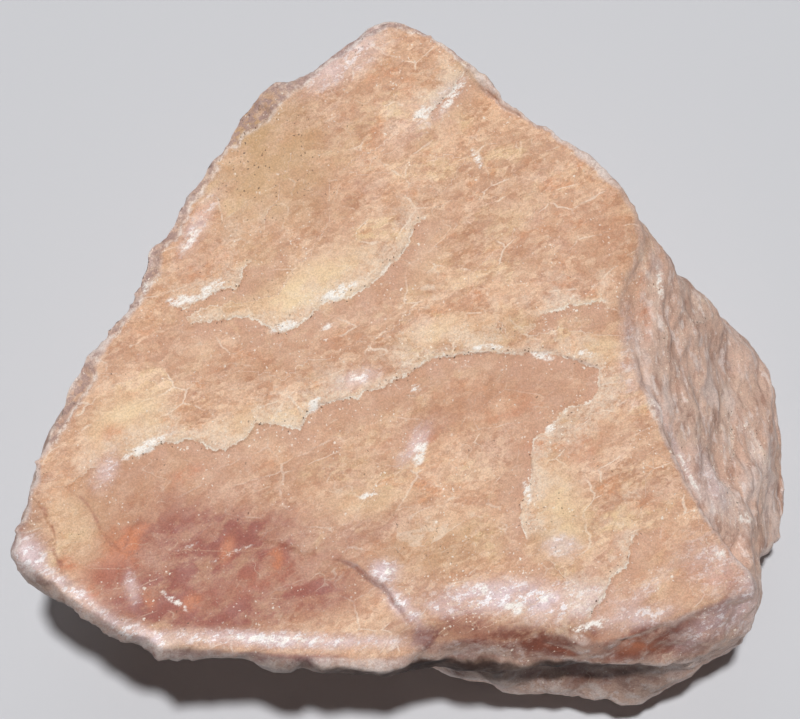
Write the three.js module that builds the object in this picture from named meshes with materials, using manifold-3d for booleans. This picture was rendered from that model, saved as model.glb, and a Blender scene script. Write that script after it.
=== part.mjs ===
// A potassium feldspar hand specimen: one lump, broken mostly along its cleavage, 72 mm wide.
// +X is its right, +Y its pointed back end and +Z up. It lies on a flat cleavage face, and the
// origin is the middle of its box on that face. All sizes are in millimetres.

import * as THREE from 'three';
import { ConvexGeometry } from 'three/addons/geometries/ConvexGeometry.js';
import { mergeVertices } from 'three/addons/utils/BufferGeometryUtils.js';
import Module from 'manifold-3d';

const wasm = await Module();
wasm.setup();

// ---- driving dimensions ----------------------------------------------------------------

const LEFT = -36;          // the left corner
const RIGHT = 36;          // the rim of the side lobe
const BACK = 29;           // the pointed end
const FRONT = -29;         // the broken front edge
const FACE_HEIGHT = 27.3;  // the main cleavage face, over the middle of the base
const FACE_LEAN = 10;      // degrees that the face leans down towards the front
const FACE_SLANT = 5;      // degrees that it slants down towards the right
const SHEET = 0.6;         // thickness of one cleavage sheet, the height of a step in the face
const CLEAR = 12;          // how far a cutting shape reaches out past the stone
const BALL_DETAIL = 5;     // how finely the ball that makes a round hollow is faceted
const SAME_PLACE = 1e-4;   // corners nearer to each other than this are one corner

// ---- outlines, as [x, y] in plan or [x, y, z] ------------------------------------------

// The edge of the main face, from the pointed end down the left side and along the front.
const FACE_EDGE = [
  [-3, BACK], [-9, 25], [-13.5, 22], [-16, 19.3], [-20.5, 10.8], [-26, 2.3], [-31.3, -7], [-34.4, -12.5],
  [-31, -24], [-27, -27.4], [-22.5, -28.8], [-14.5, -28], [-1.5, -28],
  [17, -26.2], [24, -22.3], [29.4, -21],
  [26.8, -16], [23.7, -12], [21, 10.5], [19, 13.5], [14, 17], [9, 20.3], [6, 23], [4, 25.3], [1, 27.8],
];

// The left corner is chipped a little below the face.
const LEFT_CORNER = [[LEFT, -19.5, 25.6], [-34.8, -21.4, 24.8], [-35.2, -16, 26.4]];

// The front, under the edge of the face: it leans out to the right and is cut under on the left.
const FRONT_WALL = [
  [17, -28.2, 17.5], [20, -27.8, 17], [25.3, -27, 15.5], [30.4, -24, 14.5],
  [-13.5, -27, 20], [-8, -27.8, 18], [-2, -27.8, 15], [6.5, -28, 11], [11, -28.5, 9], [16, FRONT, 8],
  [20.5, -28.8, 7.5], [25, -27, 8], [28, -25.4, 9], [30.4, -24.5, 9.5], [31.9, -20.5, 12], [31.5, -16.5, 9],
];

// The back and left walls stand nearly upright, with a low swelling half way down.
const BACK_WALL = [
  [-3, 28.6, 15], [-30.5, -6, 15], [-32, -13, 13], [-21, 9, 10], [13.5, 20.5, 7], [21.5, 14, 8],
];

// The flat face that the stone lies on.
const BASE = [
  [-4, 24], [-12, 19], [-20, 7], [-28, -6], [-27, -13], [-17, -19], [-4, -22], [10, -25],
  [21, -25.5], [27.5, -22], [30, -16], [21, 9], [12, 17.5],
];

// The crest along the right of the face, and how deep the steep wall beside it goes.
const CREST = [
  [21.2, 11.2, 10], [18.2, 3.6, 13], [18.4, 0, 13], [19.8, -4, 12], [23.7, -12, 10],
  [27.2, -17, 8], [28.7, -20, 3],
];
const CREST_WALL_RUN = 0.2;  // sideways for each millimetre down

// The lobe beside the crest: a slope from inside the block down to a thin rounded rim.
const LOBE_TOP = [[19.5, 9.5, 24.5], [16, 3, 24], [17, -6, 22.8], [22, -13, 20], [27, -17.5, 16.5]];
const LOBE_RIM = [
  [23, 9.5, 22], [26, 7.5, 17], [28.7, 6.7, 13], [31.3, 4, 10], [34.4, 1.3, 8],
  [35.4, -3.5, 7], [RIGHT, -8, 6], [35.7, -10.8, 5.6], [34.6, -13.2, 6], [32.3, -14.6, 7.5],
];
const LOBE_BACK = [[27, 10, 6], [31.5, 6.2, 4.5]];
const LOBE_BASE = [[20, 8.5], [26, 7.5], [31, 3], [33.4, -4], [33, -10.5], [30, -13], [18, -10]];

// The front bevel, where a long flake has gone from the edge of the face: the edge it left on the
// face, and its foot on the front wall.
const BEVEL_TOP = [[1.2, -23.2], [17.5, -26]];
const BEVEL_FOOT = [[-1.8, -28.1, 21.9], [1.7, -27.8, 19.5], [7, -27.9, 18.5], [18.5, -28.6, 17.3]];

// The hollow under the front edge on the left: its lip on the front wall, and its foot below the base.
const UNDERCUT_LIP = [
  [-24, -28.4, 23.4], [-13.4, -27.2, 21], [-8, -27.8, 19.3], [-1.8, -27.9, 17], [3.2, -27.9, 15],
  [7, -28.1, 12],
];
const UNDERCUT_FOOT = [[-18, -17.5, -1], [-4, -21, -1], [9, -24.8, -1]];

// Parts of the face that have lost a sheet: all but the high ground at the back left, and then
// the ground in front of the long step.
const LONG_STEP = [
  [-40, -14], [-26.6, -11.9], [-22.5, -10.1], [-17, -10.5], [-14.5, -8.2], [-10.7, -8.7], [-8.9, -6.3],
  [-3.6, -4.7], [0.9, -2.1], [6.3, -1], [12.6, -1.2], [17.2, -2], [16, -5], [11.2, -7.8], [10, -11.8],
  [8.8, -16.7], [11, -19.3], [14, -34], [-40, -34],
];
const HIGH_GROUND_STEP = [
  [-40, 1], [-22.7, 2.3], [-16.5, 4.1], [-12, 2.5], [-7, 3.5], [-3, 6], [1, 10.5], [1, 19.5], [4, 23],
  [7, 40], [50, 40], [50, -34], [-40, -34],
];

// Hollows where flakes have sprung off the walls and their edges: centre and radius of each.
const FLAKES = [
  { at: [-32.5, 5.6, -9.5], radius: 16 },      // foot of the left wall
  { at: [-36.4, -18.6, -6.2], radius: 14.4 },  // under the left corner
  { at: [-19.8, 26.8, -6.5], radius: 15 },     // foot of the back left edge
  { at: [24.7, 26.3, 8.7], radius: 13.6 },     // the swelling on the back right wall
  { at: [-8.5, -32.7, -10], radius: 18 },      // foot of the front wall
];

// ---- solids ----------------------------------------------------------------------------

function slope(degrees) {
  return Math.tan(THREE.MathUtils.degToRad(degrees));
}

// Height of the main face above the base at a place in plan.
function faceHeight(x, y) {
  return FACE_HEIGHT + slope(FACE_LEAN) * y - slope(FACE_SLANT) * x;
}

function onFace([x, y], raised = 0) {
  return new THREE.Vector3(x, y, faceHeight(x, y) + raised);
}

function onBase([x, y]) {
  return new THREE.Vector3(x, y, 0);
}

function corner([x, y, z]) {
  return new THREE.Vector3(x, y, z);
}

function solidOf(geometry) {
  const bare = geometry.clone();
  bare.deleteAttribute('normal');
  bare.deleteAttribute('uv');
  const merged = mergeVertices(bare, SAME_PLACE);
  return new wasm.Manifold(new wasm.Mesh({
    numProp: 3,
    vertProperties: new Float32Array(merged.attributes.position.array),
    triVerts: new Uint32Array(merged.index.array),
  }));
}

function geometryOf(solid) {
  const mesh = solid.getMesh();
  const geometry = new THREE.BufferGeometry();
  geometry.setAttribute('position', new THREE.BufferAttribute(mesh.vertProperties, 3));
  geometry.setIndex(new THREE.BufferAttribute(mesh.triVerts, 1));
  geometry.computeVertexNormals();
  return geometry;
}

function hull(points) {
  return solidOf(new ConvexGeometry(points));
}

// The body of the stone, from the main face down to the base.
function mainBlock() {
  return hull([
    ...FACE_EDGE.map((place) => onFace(place)),
    ...LEFT_CORNER.map(corner),
    ...FRONT_WALL.map(corner),
    ...BACK_WALL.map(corner),
    ...BASE.map(onBase),
  ]);
}

function sideLobe() {
  return hull([...LOBE_TOP, ...LOBE_RIM, ...LOBE_BACK].map(corner).concat(LOBE_BASE.map(onBase)));
}

// What is missing beside the crest: its near side is the steep wall down from the crest.
function besideCrest() {
  const points = CREST.flatMap(([x, y, depth]) => {
    const above = onFace([x, y], CLEAR);
    const below = onFace([x, y], -depth);
    above.x -= CLEAR * CREST_WALL_RUN;
    below.x += depth * CREST_WALL_RUN;
    return [above, below];
  });
  const outside = points.map((point) => point.clone().setX(RIGHT + CLEAR));
  return hull([...points, ...outside]);
}

// The hull of some points and of the same points moved out past the front.
function outToTheFront(points) {
  return hull([...points, ...points.map((point) => point.clone().setY(FRONT - CLEAR))]);
}

function beforeBevel() {
  const tops = BEVEL_TOP.flatMap((place) => [onFace(place), onFace(place, CLEAR)]);
  return outToTheFront([...tops, ...BEVEL_FOOT.map(corner)]);
}

function underFrontEdge() {
  return outToTheFront([...UNDERCUT_LIP, ...UNDERCUT_FOOT].map(corner));
}

// A cut that takes one sheet off the face, inside an outline in plan.
function sheetOff(outline, depth) {
  const shape = new THREE.Shape(outline.map(([x, y]) => new THREE.Vector2(x, y)));
  const geometry = new THREE.ExtrudeGeometry(shape, { depth: CLEAR, bevelEnabled: false });
  const position = geometry.attributes.position;
  for (let i = 0; i < position.count; i += 1) {
    const level = faceHeight(position.getX(i), position.getY(i)) - depth;
    position.setZ(i, position.getZ(i) + level);
  }
  return solidOf(geometry);
}

// A round hollow left by a flake.
function flakeOff({ at, radius }) {
  const ball = new THREE.IcosahedronGeometry(radius, BALL_DETAIL);
  ball.translate(...at);
  return solidOf(ball);
}

function feldspar() {
  const cuts = [
    sheetOff(HIGH_GROUND_STEP, SHEET),
    sheetOff(LONG_STEP, 2 * SHEET),
    ...FLAKES.map(flakeOff),
  ];
  const block = mainBlock().subtract(besideCrest());
  const fronted = block.subtract(beforeBevel()).subtract(underFrontEdge());
  const whole = fronted.add(sideLobe());
  return geometryOf(cuts.reduce((solid, cut) => solid.subtract(cut), whole));
}

// ---- the part --------------------------------------------------------------------------

const salmonStone = new THREE.MeshStandardMaterial({ color: 0xcda087, roughness: 0.45, metalness: 0 });

const specimen = new THREE.Mesh(feldspar(), salmonStone);
specimen.name = 'feldspar_specimen';

const part = new THREE.Group();
part.add(specimen);

export default part;
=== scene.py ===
"""Looks of a potassium feldspar hand specimen: a salmon-pink lump with a stepped cleavage face.

The stone is one mesh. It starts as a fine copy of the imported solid, and steps, ribs, hollows and
grain are moved into its surface. Lengths are in millimetres until the mesh is written back.
"""
import math
from functools import partial, reduce
from itertools import product

import bmesh
import bpy
import numpy as np
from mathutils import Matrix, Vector
from mathutils.kdtree import KDTree


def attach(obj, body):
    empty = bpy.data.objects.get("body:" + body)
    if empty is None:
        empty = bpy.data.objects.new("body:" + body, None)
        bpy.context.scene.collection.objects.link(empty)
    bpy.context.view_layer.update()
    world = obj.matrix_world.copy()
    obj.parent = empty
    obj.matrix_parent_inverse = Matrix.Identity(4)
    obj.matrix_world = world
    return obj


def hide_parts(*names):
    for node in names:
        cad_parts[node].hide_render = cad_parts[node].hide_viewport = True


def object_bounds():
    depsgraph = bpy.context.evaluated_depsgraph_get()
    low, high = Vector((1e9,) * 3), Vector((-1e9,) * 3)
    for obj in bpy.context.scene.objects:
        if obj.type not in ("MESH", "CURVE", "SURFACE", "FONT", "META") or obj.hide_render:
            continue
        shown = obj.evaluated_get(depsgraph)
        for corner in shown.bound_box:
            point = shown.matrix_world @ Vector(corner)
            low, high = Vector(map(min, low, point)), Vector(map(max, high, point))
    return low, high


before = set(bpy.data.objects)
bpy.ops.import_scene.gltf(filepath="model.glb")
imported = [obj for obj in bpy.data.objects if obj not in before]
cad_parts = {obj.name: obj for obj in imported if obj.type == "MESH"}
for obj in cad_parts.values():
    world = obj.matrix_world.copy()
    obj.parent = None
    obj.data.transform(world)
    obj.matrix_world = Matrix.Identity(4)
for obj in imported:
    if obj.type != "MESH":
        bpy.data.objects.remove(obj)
cad_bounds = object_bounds()

NODE = "feldspar_specimen"
BODY = "root"
MM = 0.001  # one millimetre, in the metres that Blender works in

# ---- the mesh's fineness, in millimetres ----

COARSE_GRID = 0.5  # spacing of the mesh before it is made finer
FINE_ABOVE = 4.0  # it is finer over this height,
FINE_SLOPE = 0.25  # where the upward part of its normal is more than this share of the whole,
FINEST_BESIDE = 0.7  # and finest this close to a step
TRIANGLE_LIMIT = 190000
GRID_ROUNDS = 3  # rounds of smoothing that take the grid's own steps out of the mesh
NORMAL_ROUNDS = 6  # the same for the directions that the surface is moved in
WEAR_ROUNDS = 160  # rounds of smoothing that wear a crest down to a soft bend

# ---- sizes, in millimetres ----

FOOT = (0.2, 2.5)  # relief starts at the first of these heights and is whole at the second
FACE_SINK = -0.6  # the main face's mean level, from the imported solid's highest sheet
FACE_BAND = (-3.0, -2.0)  # levels from that sheet: none is main face under the first, all over the second
STEP_RUN = 0.25  # how far a step takes to fall
STEP_TAPER = 3.0  # how far from its ends a step has its whole height
EDGE_WANDER = (0.5, 2.2)  # how far, and over what length, the broken edges wander
EDGE_FRAY = (0.13, 0.6)  # the same for their small teeth
RIM_WIDTH = (0.08, 0.75)  # least and most width of the crushed rim round the main face
RIM_WANDER = 4.5  # the length over which its width varies
RIM_SLOPE = 0.7  # how steeply it falls away
RIM_END = 3.0  # it dies out before this x, because the right side is sound
RIM_FADE = 7.0  # over this length
FRONT_RIM_START = -25.0  # and it grows from nothing behind this y, because the front edge is worn round

# Relief from noise, as its height and its length.
FACE_SWELL = (0.22, 13.0)
FACE_GRAIN_RELIEF = (0.03, 0.7)
WALL_LUMPS = (0.3, 11.0)
WALL_GRAIN_RELIEF = (0.08, 0.8)
BEND = (0.5, 2.5)  # how far, and over what length, flat broken pieces are bent

# Relief from flat broken pieces, as their size and how far they tilt up or down.
FACE_CHIPS = (2.4, 0.07)
FACE_PLATES = (7.0, 0.12)
WALL_MASSES = (8.0, 1.1)
WALL_BLOCKS = (3.4, 0.5)
WALL_SPLINTERS = (1.4, 0.27)

# Where the colours change.
NO_EDGE = 9.0  # the distance that stands for no sheet edge nearby
SHEET_EDGE = 6.0  # colours change no further than this from a sheet's edge
UNDER_SHEET_REACH = 4.0  # how far the browner ground under a sheet reaches
THIN_SHEET_REACH = (0.5, 5.5)  # least and most width of the paler border of a sheet
HAIRLINE = (0.12, 0.03)  # the half width of the white line along its edge, and of the line's middle
CREASE_STAIN = 0.15  # how far rust has spread from a crease
LIP_SHADE_DEPTH = (3.0, 11.0)  # how far down from the lip the painted shade under it starts to fade, and is gone
LIP_SHADE_END = (27.0, 17.0)  # the x that it doesn't reach, and the x where it starts to fade to the right

# ---- directions, in degrees from the X axis in plan ----

FACE_GRAIN = 27  # the main face's streaks and chips
HAIR_GRAIN = 24  # its hair cracks
BLOCK_GRAIN = -62  # the larger pieces that the walls break into
SPLINTER_GRAIN = -66  # the smaller ones
RIB_GRAIN = -72  # the walls' streaks of colour

# ---- where things are, in millimetres ----


class Step:
    """A step in the stone's surface: its height, its reach and its line in plan, high side on the left."""

    def __init__(self, height, reach, line):
        self.height = height
        self.reach = reach
        self.line = np.array(line, float)


# The steps of the main face.
FACE_STEPS = [
    Step(0.26, 4, [  # the long step, and the edge of the sheet at the right that it runs into
        (-26.9, -12.1), (-24.7, -11.2), (-22.5, -10.1), (-21.2, -9.8), (-18.1, -10.6), (-16.8, -10.5),
        (-15.5, -9.6), (-14.6, -8.3), (-12.9, -8), (-10.7, -8.7), (-9.6, -7.1), (-8.9, -6.3),
        (-7.1, -5.9), (-3.6, -4.7), (-1.8, -3.7), (0.9, -2.1), (3.6, -1.3), (6.3, -1), (9, -1.5),
        (12.6, -1), (14.5, -1.7), (16.2, -2.6), (16.4, -4.1), (15.2, -5.3), (13, -6.4),
        (11.4, -7.8), (10.2, -9.2), (10, -11.8), (9.3, -13.6), (8.9, -15), (9.2, -16.8),
        (10.6, -18.6),
    ]),
    Step(0.2, 3, [  # two sheets above it at the left
        (-23.4, 2), (-20.9, 2.1), (-18.6, 3.1), (-16.5, 4.1), (-15.4, 5.4), (-14.6, 7.6),
    ]),
    Step(0.24, 3, [
        (-21.8, 0.6), (-19.3, 0.8), (-16.6, 1.2), (-15.3, 1), (-13.9, 0.4), (-12.6, 0.1), (-11, 0.7),
        (-9.7, 1.9), (-8.1, 3), (-6.3, 3.7), (-4.6, 4.5), (-3.5, 5.6), (-2.2, 6.8), (-1.1, 8.2),
        (-0.5, 9.6), (1.2, 12),
    ]),
    Step(0.2, 3, [(-0.6, 19.6), (1.8, 21.4), (3.9, 24), (4.4, 26)]),  # near the pointed end
    Step(0.2, 2, [(9, 1.6), (12.6, 2.8), (15, 3.2), (18.2, 4.2)]),  # at the right
    Step(0.2, 2, [(13, -1.2), (14.6, -1.5), (16.4, -2.4)]),
    Step(0.24, 2.5, [  # near the front corner at the right
        (14.2, -25.6), (16.3, -22.3), (18.2, -19.6), (19, -17.8), (19.6, -15.4),
    ]),
]

# Creases have no crushed lip, and rust has settled in them.
CREASES = [
    Step(0.6, 3, [  # the shelly hollow near the middle of the front edge
        (-8.6, -19.8), (-7.1, -20.1), (-5.3, -21), (-4, -21.8), (-2.7, -22.8), (-1.6, -24.1),
        (-0.7, -25.9),
    ]),
    Step(0.13, 2, [  # a small sheet at the left, with an angular edge
        (-31.6, -13), (-30.4, -14.6), (-29.1, -16), (-28, -17.9), (-27.2, -19), (-26, -19.8),
        (-25.6, -18.6), (-25.3, -17.4), (-24.4, -17), (-22.8, -16.6),
    ]),
    Step(0.28, 2, [  # the facet of the left corner
        (-34.9, -14), (-34.5, -14.6), (-33.4, -15.9), (-32.5, -17), (-32, -18.3), (-32.1, -19.7),
        (-31.6, -20.8), (-31, -22.1), (-30.4, -24),
    ]),
]

# The steps of the side lobe.
LOBE_STEPS = [
    Step(0.5, 2, [(22.6, -0.6), (22.4, 2.3), (21.8, 3.2), (21.7, 5.3), (21.5, 7.6)]),
    Step(0.6, 2.5, [(29.6, -13), (28.2, -9.9), (27, -8.3), (26.3, -6.4)]),
    Step(0.4, 2, [(29.7, -8.4), (29.4, -6), (29.2, -3.6), (30, -1.4)]),
    Step(0.3, 2, [(33.9, -8.4), (33, -6.4), (32, -4.8), (31.6, -2.4)]),
    Step(0.5, 2, [(25.2, 2.6), (26, 4.2), (27.6, 5.9)]),
]


# Where the surface swells out, or in: the middle and the half sizes of a soft ball, and how far.
SWELLINGS = [
    ((-36, -20.5, 22), (4.5, 4.5, 4.5), 1.3),  # the left corner
    ((-3.2, -20.8, 22.6), (0.9, 0.9, 0.9), 0.35),  # a pearly knob in the front bevel
    ((11, -28.2, 14.2), (11, 3, 3.9), -1.9),  # the front wall is hollow under its lip
    ((17, -28, 7), (6, 3, 3), 0.4),  # and fuller near its foot
    ((23, 9, 23.5), (3, 5, 3), 1.6),  # the back of the lobe, filled up to the crest
    ((21, 2, 22), (2.2, 4.5, 2.5), 0.5),  # and its shelf beside the crest
    ((-13.4, 21, 31), (3, 3, 4), 1),  # the shoulder left of the pointed end
    ((8.2, 22.4, 29), (4.2, 2.6, 4), -1.2),  # and the notch right of it
]

# Where the crest at the right is worn to a soft bend, as balls again.
WORN_CREST = [((21.3, 10.5, 25), (5, 5, 5), 1), ((20.6, 4.5, 23.5), (4.5, 6.5, 4.5), 1)]

# The crest at the right of the main face, in plan from the back: the side lobe lies beyond it.
CREST_LINE = [
    (21.2, 11.2), (18.2, 3.6), (18.4, 0), (19.8, -4), (23.7, -12), (27.2, -17), (28.7, -20),
]
LOBE_START = 17  # nothing left of this x is side lobe

# The lip of the front bevel, as x and z: the wall under it gets painted shade, a dark colour laid where the
# lip shades it.
FRONT_LIP = [
    (-36, 26.6), (-30, 25.6), (-24, 24.8), (-13.4, 23.4), (-9, 22.2), (-1.8, 20.9),
    (2.6, 19.4), (7.1, 18.8), (11.6, 18.4), (16, 17.8), (20, 16.4), (24, 14),
]

# Colour patches on the upper surfaces: x and y, half length and half width, turn in degrees and strength.
PATCHES = {
    # a real rust stain, darkened further at the lower left as painted shade
    "rust_and_shade": [
        (-20, -19.4, 7.2, 4.6, 12, 1), (-15.5, -22.2, 10, 4.4, 6, 1), (-14.5, -23.8, 9, 2, 5, 0.6),
        (-27.5, -22.6, 2.4, 1.8, -40, 0.5), (0.5, -8.5, 3, 1.2, 20, 0.35), (-4, -17.5, 5, 1.6, 20, 0.25),
        (4, -25.2, 3.4, 1.3, -25, 0.9), (-23, -23, 5, 3, -10, 0.6), (-12, -17, 4, 1.6, 20, 0.35),
    ],
    "tan": [
        (-1, -7, 9, 3, 15, 0.55), (-26, -15.8, 4.4, 4, 20, 1), (24, -19, 4, 2.6, 20, 0.6),
        (-22, -14, 9, 3.4, 10, 0.5), (9, -5.5, 7, 2.4, 10, 0.5), (-8, -14, 10, 3, 10, 0.3),
        (-20, 6.6, 3, 5, -30, 0.35), (-7.5, 14, 4, 3, 40, 0.4), (17.5, 9, 2, 5, 10, 0.35),
        (-14, -3, 6, 2, 15, 0.45),
    ],
    "orange": [
        (-20.4, -12.7, 1.6, 0.7, 30, 1), (-25.5, -18.9, 1, 2.2, 25, 1), (-24.5, -17.6, 1, 0.5, 40, 0.8),
        (-23.7, -23.7, 0.5, 0.9, 20, 1), (-20, -24, 1, 0.7, 30, 0.9), (-12.8, -20, 0.7, 1.2, -10, 1),
        (-30.9, -20.8, 0.9, 0.7, 0, 0.9), (-28.7, -23.6, 0.8, 0.8, 0, 0.9),
        (-17, -19.4, 0.6, 1.3, -15, 0.9), (-26.8, -19.6, 2, 1.4, -30, 0.6),
        (-28.4, -21.6, 3, 2, -30, 0.35), (-13.5, -21.8, 6, 1.4, 15, 0.3), (-26.8, -9.6, 1.4, 1, 0, 0.7),
        (8, -6.2, 3, 1, 20, 0.5), (9.6, -9.6, 1.4, 1.2, -20, 0.6), (-1, -9.5, 3.4, 0.8, 10, 0.5),
        (14.5, -9.5, 2, 1.4, 40, 0.4), (20.4, 3.4, 0.7, 2.6, 5, 0.7), (26, -21.5, 3, 0.8, 20, 0.4),
        (18, -26.4, 3, 0.6, 0, 0.5),
    ],
    "ochre": [
        (-13.5, 14.8, 6.5, 5, 60, 0.9), (-17, 19, 3, 3, 0, 0.6), (-9, 3.6, 4, 1.2, 20, 0.5),
        (-16, 3.2, 5, 1.4, 20, 0.5), (7.4, 0.6, 3, 1.4, 25, 0.6), (12, -16, 2.4, 4, 0, 0.7),
        (-20.5, -25.9, 0.5, 0.8, 0, 1), (-26.1, -25.9, 1, 0.6, 0, 1), (-28.2, -18, 2.6, 3.5, 0, 0.3),
        (9.4, -10.6, 1, 1, 0, 0.7), (1.5, -18.5, 5, 2.4, 10, 0.6), (-15.8, -25.5, 1.6, 0.6, 0, 0.7),
    ],
    "straw": [
        (-25.6, -8.4, 3.6, 2.4, 20, 0.9), (-8.6, 4.6, 5, 2.2, 28, 0.9), (-13.5, 2.6, 5, 1.3, 12, 0.7),
        (2.6, 0.6, 4, 1.2, 15, 0.7), (12.6, -15, 2, 4.4, 8, 0.8), (16.6, -0.6, 2.6, 1.2, 0, 0.7),
        (3.4, 22.6, 3.2, 1.4, 50, 0.6), (-30.2, -18, 2, 3.4, 20, 0.55), (-14.6, -8.4, 5, 1.6, 12, 0.5),
        (0.4, 7, 1.6, 3.4, -20, 0.4), (-4.4, -14.6, 4, 1.4, 10, 0.5),
    ],
    "umber": [
        (8, -26.4, 9, 1.5, 0, 1), (20.5, -26, 8, 1.8, 8, 1), (27.5, -22.5, 3, 1.6, 40, 0.7),
        (1.6, -26.6, 2.6, 1.5, 0, 0.8), (-34.8, -19, 1.6, 4.5, -14, 0.5),
    ],
    # painted shade along the front-left edge, in a plum colour
    "plum_shade": [
        (-31.6, -24.6, 5, 0.6, -36, 1), (-25.6, -28, 3, 0.6, -20, 0.9), (-13, -28.6, 12, 0.5, 0, 0.8),
        (-27, -25.6, 1.2, 0.8, -30, 0.5),
    ],
    # pale lilac tone with painted sheen, on the pearly patches
    "lilac_and_sheen": [
        (6.5, -22.8, 5, 1.4, 5, 1), (13, -23.2, 4.6, 1.6, 5, 0.9), (-3.1, -20.9, 1.3, 1, 0, 1.1),
        (-34.2, -20.2, 1.8, 1.5, -40, 1), (-30.2, -23.4, 3.6, 0.7, -36, 0.9),
        (-24.4, -26.9, 3, 0.8, -20, 1), (-0.4, -9.6, 2.2, 0.7, 55, 0.7), (-13, -27, 11, 0.7, 0, 1),
        (-1.5, -24, 2.2, 0.8, -45, 0.9), (26, -19.5, 3, 2.4, -30, 0.4), (-7, 24.8, 5, 1.6, 38, 0.6),
        (2.2, 21.6, 3.2, 0.9, 50, 0.7), (-19.8, 9.6, 0.8, 3.4, -28, 0.6), (18.8, -0.8, 0.9, 4, 0, 0.4),
        (-27.7, -12.8, 1, 1.8, -20, 0.6), (-25.2, -22.9, 0.6, 1.4, 15, 0.7),
        (27, -10.6, 1.2, 3.2, 30, 0.5), (23, -7.8, 0.5, 4.6, 32, 0.5), (12.6, -18.4, 1.6, 1, 0, 0.7),
        (-5.6, -4, 2, 0.8, 20, 0.6), (26, -24.6, 3, 1, 30, 0.6), (29.4, -22.6, 1.2, 1.6, 0, 0.6),
        (1.8, -24.2, 1, 0.6, 0, 0.8), (20, -22, 3, 0.6, 40, 0.5), (19, -24.4, 3.4, 0.9, 10, 0.7),
    ],
    "frost": [
        (-24.2, -10.6, 2.6, 0.5, 28, 1), (-21.4, 2.5, 1.3, 0.5, 10, 1), (-18.6, 3.6, 1.8, 0.55, 35, 1),
        (-7.2, 3.8, 1.9, 0.6, 30, 1), (-12.1, 0.5, 1.5, 0.45, 20, 0.9), (3.1, 22.3, 2.4, 0.45, 55, 0.9),
        (0.2, 20.2, 1.4, 0.7, 50, 0.8), (5.2, 16.3, 0.4, 1.3, 25, 0.8), (-9.4, -6.4, 1.1, 0.5, 50, 0.9),
        (6.2, -0.9, 1.8, 0.35, 5, 0.8), (11, -1.4, 1.3, 0.4, -15, 0.8), (14.8, -1.1, 0.9, 0.45, -15, 0.9),
        (11.8, -7.8, 0.8, 0.45, 45, 1), (9.5, -13.6, 0.4, 1.2, 10, 0.9), (0, -10.4, 0.6, 1.3, -20, 1),
        (-0.3, -4.7, 0.6, 0.5, 0, 0.9), (-4.5, -14.2, 1, 0.3, 20, 0.9), (-5.6, -3.9, 1.4, 0.4, 15, 0.6),
        (-20.6, 8, 0.45, 1.6, -30, 0.9), (-24.5, 3.6, 0.3, 0.7, 0, 0.9), (8.3, -23.8, 1.1, 0.6, 0, 1),
        (15.2, -25.2, 1.8, 0.45, 15, 1), (11.2, -22.8, 0.8, 0.5, 20, 0.9),
        (-2.7, -20.9, 0.6, 0.5, 0, 0.9), (5.4, -22.3, 0.9, 0.6, 0, 0.9),
        (-21.5, -23.9, 1.6, 0.3, -35, 0.9), (-12.5, -27, 5, 0.4, 0, 0.8), (-8.3, 0.6, 0.9, 0.3, 30, 0.7),
        (-16.5, -19.6, 2.4, 0.25, 24, 0.75), (-20.5, -19.2, 1.4, 0.2, 24, 0.6),
        (26.8, -18.6, 0.7, 0.7, 0, 0.6), (24.6, -10.4, 0.3, 3, 30, 0.8), (29.9, -13.3, 1.2, 0.8, 0, 0.6),
        (22, 6, 0.4, 2.4, 5, 0.7),
    ],
}

# ---- noise ----

NOISE_TABLE = 256  # random choices that the noise repeats after; a power of two
NOISE_GAIN = 1.6  # brings it out to about -1 and 1
OCTAVE_SHIFT = 17.3  # sets finer noise apart from coarser noise


def drawn(shuffle, cells):
    """A lot for each cell of a grid, from its three whole-number places."""
    lot = np.zeros(len(cells), np.int64)
    for column in cells.T:
        lot = shuffle[(lot + column) % NOISE_TABLE]
    return lot


class Noise:
    """Smooth noise from about -1 to 1 in three dimensions, the same on every run."""

    def __init__(self, seed):
        random = np.random.default_rng(seed)
        self.shuffle = random.permutation(NOISE_TABLE)
        arrows = random.normal(size=(NOISE_TABLE, 3))
        self.arrows = arrows / np.linalg.norm(arrows, axis=1)[:, None]

    def __call__(self, places):
        cell = np.floor(places).astype(np.int64)
        inside = places - cell
        fade = inside ** 3 * (inside * (inside * 6 - 15) + 10)
        total = np.zeros(len(places))
        for corner in product((0, 1), repeat=3):
            index = drawn(self.shuffle, cell + corner)
            share = np.prod(np.where(corner, fade, 1 - fade), axis=1)
            total += share * ((inside - corner) * self.arrows[index]).sum(1)
        return NOISE_GAIN * total

    def rough(self, places, octaves):
        """The same noise with ever finer and weaker noise laid on it."""
        total = np.zeros(len(places))
        for octave in range(octaves):
            total += self(places * 2.0 ** octave + OCTAVE_SHIFT * octave) * 0.5 ** octave
        return total


def relief(height_and_length, noise, places, octaves=3):
    """A surface's ups and downs from noise."""
    height, length = height_and_length
    return height * noise.rough(places / length, octaves)


def facets(places, size, height, seed):
    """Heights of a surface broken into flat tilted pieces of about a size, which meet in sharp creases.

    Each cell of a skewed grid is cut into six tetrahedra, and heights run straight between their corners.
    """
    random = np.random.default_rng(seed)
    shuffle = random.permutation(NOISE_TABLE)
    heights = random.uniform(-height, height, NOISE_TABLE)
    turn, _ = np.linalg.qr(random.normal(size=(3, 3)))
    scaled = places @ turn / size
    scaled = scaled + scaled.sum(1)[:, None] / 3
    cell = np.floor(scaled).astype(np.int64)
    inside = scaled - cell
    order = np.argsort(-inside, axis=1)
    ranked = np.take_along_axis(inside, order, axis=1)
    ends = np.column_stack((np.ones(len(places)), ranked, np.zeros(len(places))))
    shares = ends[:, :-1] - ends[:, 1:]
    total = np.zeros(len(places))
    corner = cell.copy()
    for step in range(4):
        total += shares[:, step] * heights[drawn(shuffle, corner)]
        if step < 3:
            corner[np.arange(len(places)), order[:, step]] += 1
    return total


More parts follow.
